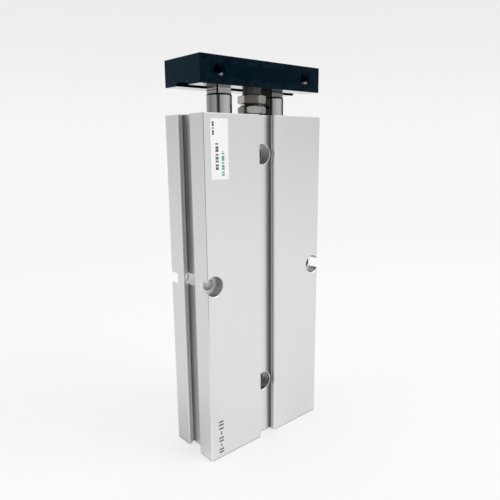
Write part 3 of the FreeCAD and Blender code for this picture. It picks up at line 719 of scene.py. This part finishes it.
def mouldedRecipe(shade, settings):
    place = shade.place()
    cloud = shade.noise(place, *moulded["cloud"])
    grain = shade.noise(place, *moulded["grain"])
    worn = cloud.rise(*moulded["wornEdge"])
    colour = shade.blendColour(worn, settings["colour"], settings["worn"])
    # painted shade in bands, where a finish lists them
    for low, high in settings.get("oilyBands", []):
        inBand = shade.millimetres()[2].within(low, high, 0.15)
        colour = shade.blendColour(inBand, colour, settings["oily"])
    rough = settings["roughness"] + (cloud - 0.5) * moulded["roughSpread"]
    return shade.node("BsdfPrincipled", None, {
        "Base Color": colour, "Roughness": rough, "Specular IOR Level": moulded["specular"],
        "Normal": shade.bump(grain, *moulded["bump"])})


finishes = {
    "anodised_aluminium": newFinish("satin_aluminium", satinRecipe, satinAluminium),
    "black_plate": newFinish("navy_plate", plateRecipe, navyPlate),
    "chromed_steel": newFinish("hard_chrome", chromeRecipe, hardChrome),
    "plated_steel": newFinish("nickel_steel", turnedRecipe, nickelSteel),
    "turned_aluminium": newFinish("turned_aluminium", turnedRecipe, turnedAluminium),
    "sintered_bronze": newFinish("sintered_bronze", turnedRecipe, sinteredBronze),
    "black_steel": newFinish("black_steel", mouldedRecipe, blackSteel),
    "black_rubber": newFinish("black_rubber", mouldedRecipe, blackRubber),
    "urethane": newFinish("urethane", mouldedRecipe, urethane),
    "ferrite": newFinish("ferrite", mouldedRecipe, ferrite),
    "acetal": newFinish("acetal", mouldedRecipe, acetal),
}
ownFinishes = {
    "stop_bolt": newFinish("zinc_steel", turnedRecipe, zincSteel),
    "stop_collar": newFinish("oily_black_steel", mouldedRecipe, stopCollar),
}
for row in frame["record"]["subparts"]:
    for slot in nodes[row["node"]].material_slots:
        slot.material = ownFinishes.get(row["node"], finishes[row["material_slot"]])
print("finishes on", len(nodes), "pieces")


# pieces that only the scene has

def addPiece(name, points, faces, material, body):
    mesh = bpy.data.meshes.new(name)
    mesh.from_pydata(points, [], faces)
    mesh.validate()
    mesh.materials.append(material)
    piece = bpy.data.objects.new(name, mesh)
    scene.collection.objects.link(piece)
    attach(piece, body)
    return piece


# sticker on the wide face, with rows of plain printed bars
sticker = {
    "left": -28.0, "right": -19.9, "low": 114.1, "high": 136.05,
    "face": -12.5,
    "thickness": 0.08,
    "corner": 0.45,
    "cornerSteps": 6,
    "colour": rgb(0.90, 0.90, 0.895),
    "shade": rgb(0.875, 0.875, 0.87),
    "roughness": 0.42,
    "roughSpread": 0.12,
    "specular": 0.4,
    "pulp": (1800, 4.0),
    "fibre": (9000, 2.0),
    "bump": (0.08, 0.02),
    # left, right, low, high, bar pitch, ink
    "print": [
        (-27.3, -26.4, 130.2, 135.5, 1.05, rgb(0.05, 0.05, 0.055)),
        (-25.9, -24.5, 117.1, 127.3, 1.28, rgb(0.12, 0.12, 0.13)),
        (-23.1, -21.8, 115.4, 124.4, 1.12, rgb(0.07, 0.36, 0.28)),
    ],
    "uneven": 2.7,  # pitches from one wide bar to the next
}


def stickerRecipe(shade, settings):
    place = shade.place()
    x, z = shade.millimetres()[::2]
    pulp = shade.noise(place, *settings["pulp"])
    fibre = shade.noise(place, *settings["fibre"])
    colour = shade.blendColour(pulp.rise(0.35, 0.7), settings["colour"], settings["shade"])
    for left, right, low, high, pitch, ink in settings["print"]:
        inRow = x.within(left - 0.02, right + 0.02, 0.08) * z.within(low - 0.02, high + 0.02, 0.08)
        even = (z * (fullTurn / pitch)).sine()
        uneven = (z * (fullTurn / (settings["uneven"] * pitch))).sine()
        colour = shade.blendColour(inRow * (even + uneven * 0.6).rise(-0.55, -0.25), colour, ink)
    rough = settings["roughness"] + (pulp - 0.5) * settings["roughSpread"]
    return shade.node("BsdfPrincipled", None, {
        "Base Color": colour, "Roughness": rough, "Specular IOR Level": settings["specular"],
        "Normal": shade.bump(pulp * 0.6 + fibre * 0.4, *settings["bump"])})


def addSticker(settings):
    radius, steps = settings["corner"], settings["cornerSteps"]
    left, right = settings["left"] + radius, settings["right"] - radius
    low, high = settings["low"] + radius, settings["high"] - radius
    outline = []
    for x, z, start in ((right, high, 0), (left, high, 90), (left, low, 180), (right, low, 270)):
        for i in range(steps + 1):
            turn = math.radians(start + 90 * i / steps)
            outline.append((x + radius * math.cos(turn), z + radius * math.sin(turn)))
    count = len(outline)
    front = settings["face"] - settings["thickness"]
    points = [(x * mm, level * mm, z * mm) for level in (settings["face"], front) for x, z in outline]
    faces = [tuple(reversed(range(count))), tuple(range(count, 2 * count))]
    faces += [(i, (i + 1) % count, (i + 1) % count + count, i + count) for i in range(count)]
    paper = newFinish("sticker_paper", stickerRecipe, settings)
    addPiece("sticker", points, faces, paper, "barrel")


addSticker(sticker)


# lock nut, turned on its thread as far as in the photograph
lockNut = {
    "flats": 10.0,
    "turn": 19.0,
    "bore": 3.05,
    "countersink": 0.4,
    "faceRing": 4.8,
    "chamfer": 20.0,
    "cornerRound": 0.06,
    "steps": 14,
    "sharpFrom": 12,
}


def addLockNut(settings):
    low, high = [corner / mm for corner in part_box("lock_nut")]
    middle = (low + high) / 2
    bore, sink, ring = settings["bore"], settings["countersink"], settings["faceRing"]
    steps = settings["steps"]
    corner = settings["flats"] / math.sqrt(3) - settings["cornerRound"]
    count = 6 * steps
    points = []
    for i in range(count):
        offSide = math.radians(60 * (i % steps) / steps - 30)
        turn = math.radians(settings["turn"] + 60 * i / steps)
        radius = min(settings["flats"] / 2 / math.cos(offSide), corner)
        drop = (radius - ring) * math.tan(math.radians(settings["chamfer"]))
        profile = [
            (bore, high.z - sink), (bore + sink, high.z), (ring, high.z), (radius, high.z - drop),
            (radius, low.z + drop), (ring, low.z), (bore + sink, low.z), (bore, low.z + sink),
        ]
        for reach, level in profile:
            across, along = reach * math.cos(turn), reach * math.sin(turn)
            points.append(Vector((middle.x + across, middle.y + along, level)) * mm)
    rows = len(profile)
    faces = []
    for i in range(count):
        here, after = rows * i, rows * ((i + 1) % count)
        for j in range(rows):
            faces.append((here + j, here + (j + 1) % rows, after + (j + 1) % rows, after + j))
    nickel = newFinish("polished_nickel", turnedRecipe, polishedNickel)
    nut = addPiece("lock_nut_turned", points, faces, nickel, "carriage")
    nut.data.shade_smooth()
    nut.data.set_sharp_from_angle(angle=math.radians(settings["sharpFrom"]))
    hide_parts("lock_nut")


addLockNut(lockNut)


# cut threads in the air ports and in the plate's holes: one ridge that winds along the drilled wall
threads = {
    "pitch": 0.8,
    "ridge": 0.24,
    "foot": 0.34,
    "crest": 0.06,
    "radius": 2.1,
    "bite": 0.03,
    "steps": 36,
    "runOut": 14,  # steps over which it fades at both ends
    "thinnest": 0.05,
    "rows": [
        # name, start, direction, length, body, slot
        ("rear_port_thread", (30.3, 0, 13.5), (-1, 0, 0), 5.8, "barrel", "anodised_aluminium"),
        ("front_port_thread", (30.3, 0, 115.2), (-1, 0, 0), 5.8, "barrel", "anodised_aluminium"),
        ("plate_thread_left", (-22.3, -10.9, 153.0), (0, 1, 0), 21.8, "carriage", "black_plate"),
        ("plate_thread_right", (22.3, -10.9, 153.0), (0, 1, 0), 21.8, "carriage", "black_plate"),
    ],
}


def addThread(row, settings, materials):
    name, start, direction, length, body, slot = row
    forward = Vector(direction)
    upward = Vector((0, 0, 1))
    sideways = upward.cross(forward)
    steps, runOut = settings["steps"], settings["runOut"]
    total = int(length / settings["pitch"] * steps)
    wall = settings["radius"] + settings["bite"]
    foot, flank = settings["foot"], settings["crest"]
    points = []
    for i in range(total + 1):
        turn = fullTurn * i / steps
        fade = min(1.0, i / runOut, (total - i) / runOut)
        out = sideways * math.cos(turn) + upward * math.sin(turn)
        along = settings["pitch"] * i / steps
        crest = wall - (settings["ridge"] + settings["bite"]) * fade
        for radius, shift in ((wall, -foot), (crest, -flank), (crest, flank), (wall, foot)):
            shifted = forward * (along + shift * max(fade, settings["thinnest"]))
            points.append((Vector(start) + out * radius + shifted) * mm)
    faces = []
    for i in range(total):
        for j in range(4):
            faces.append((4 * i + j, 4 * i + (j + 1) % 4, 4 * i + 4 + (j + 1) % 4, 4 * i + 4 + j))
    faces += [(3, 2, 1, 0), tuple(range(4 * total, 4 * total + 4))]
    addPiece(name, points, faces, materials[slot], body)


threadFinishes = {
    "anodised_aluminium": newFinish("cut_thread", turnedRecipe, cutThread),
    "black_plate": finishes["black_plate"],
}
for row in threads["rows"]:
    addThread(row, threads, threadFinishes)
print("sticker, lock nut and", len(threads["rows"]), "threads added")
